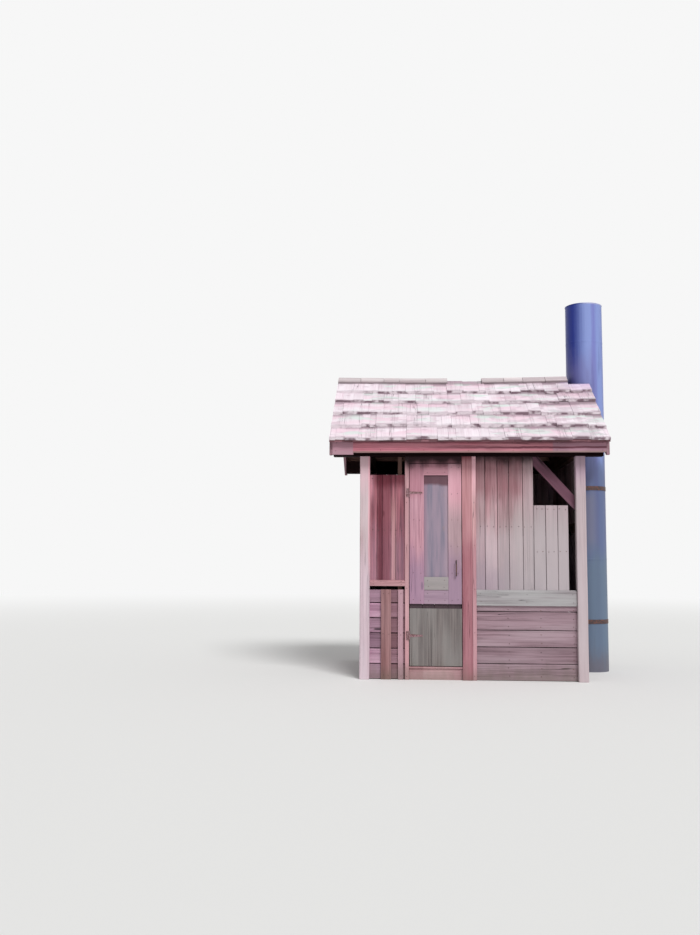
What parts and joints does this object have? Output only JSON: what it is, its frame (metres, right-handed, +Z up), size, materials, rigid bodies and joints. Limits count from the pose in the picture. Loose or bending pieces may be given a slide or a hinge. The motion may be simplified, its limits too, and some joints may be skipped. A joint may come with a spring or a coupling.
{
  "type": "wooden forest toilet house with a vent stack",
  "caption": "Small wooden forest toilet house: gabled shake roof on corner posts, board walls, a hinged plank door and a tall round vent stack at one end.",
  "frame": {"origin": "on the ground under the middle floor joist, midway between the corner posts", "axes": "+Z up, -Y out of the door, +X towards the vent stack, along the ridge"},
  "size_m": [3.0073, 2.4554, 4.1],
  "materials": {
    "weathered_boards": "bare weathered red-brown boards, matte",
    "skirt_boards": "bare weathered mauve-brown boards, matte",
    "trim_wood": "bare weathered trim boards, matte",
    "post_wood": "silvery pink-grey weathered timber, matte",
    "red_post_wood": "red-brown timber, matte",
    "frame_wood": "rough sawn timber, matte",
    "floor_wood": "worn floor boards, matte",
    "fascia_wood": "rose-brown board, grey at its ends, matte",
    "deck_wood": "rough sawn roof boards, matte",
    "shake_wood": "silvered split shakes, matte",
    "door_wood": "weathered door boards, matte",
    "door_grey_panel": "grey painted board, faded, matte",
    "stack_paint": "blue-black paint, glossy, weathered",
    "hinge_iron": "dark iron, dull"
  },
  "bodies": {
    "house": {"bay_cover_boards": "trim_wood", "bay_stud": "frame_wood", "corner_posts": "post_wood", "door_header": "trim_wood", "door_stops": "frame_wood", "door_trims": "trim_wood", "end_plates": "frame_wood", "floor_boards": "floor_wood", "floor_joists": "frame_wood", "front_barge_boards": "fascia_wood", "front_beam": "frame_wood", "front_deck": "deck_wood", "front_fascia": "fascia_wood", "front_rail_left": "trim_wood", "front_shakes": "shake_wood", "front_skirt_left": "skirt_boards", "front_skirt_right": "skirt_boards", "front_wall_left": "weathered_boards", "front_wall_right": "weathered_boards", "hinge_jamb": "frame_wood", "hinge_plates": "hinge_iron", "knee_brace": "frame_wood", "left_gable": "weathered_boards", "left_skirt": "skirt_boards", "left_wall": "weathered_boards", "rafters": "frame_wood", "rear_barge_boards": "fascia_wood", "rear_beam": "frame_wood", "rear_deck": "deck_wood", "rear_fascia": "fascia_wood", "rear_shakes": "shake_wood", "rear_skirt": "skirt_boards", "rear_wall": "weathered_boards", "ridge_board": "frame_wood", "ridge_cap": "shake_wood", "right_gable": "weathered_boards", "right_skirt": "skirt_boards", "right_wall": "weathered_boards", "stack_straps": "stack_paint", "strike_post": "red_post_wood", "threshold": "trim_wood", "vent_stack": "stack_paint", "wall_bands": "trim_wood", "wall_girts": "frame_wood"},
    "door": {"door_planks": "door_wood", "door_stiles": "door_wood", "door_rails": "door_wood", "door_panel": "door_grey_panel", "door_kick_board": "door_grey_panel", "hinge_straps": "hinge_iron", "door_pull": "hinge_iron"}
  },
  "joints": [
    {"name": "door_hinge", "type": "hinge", "parent": "house", "child": "door", "pos_m": [-0.639, -0.978, 0], "axis": [0, 0, -1], "range_deg": [0, 120]}
  ]
}
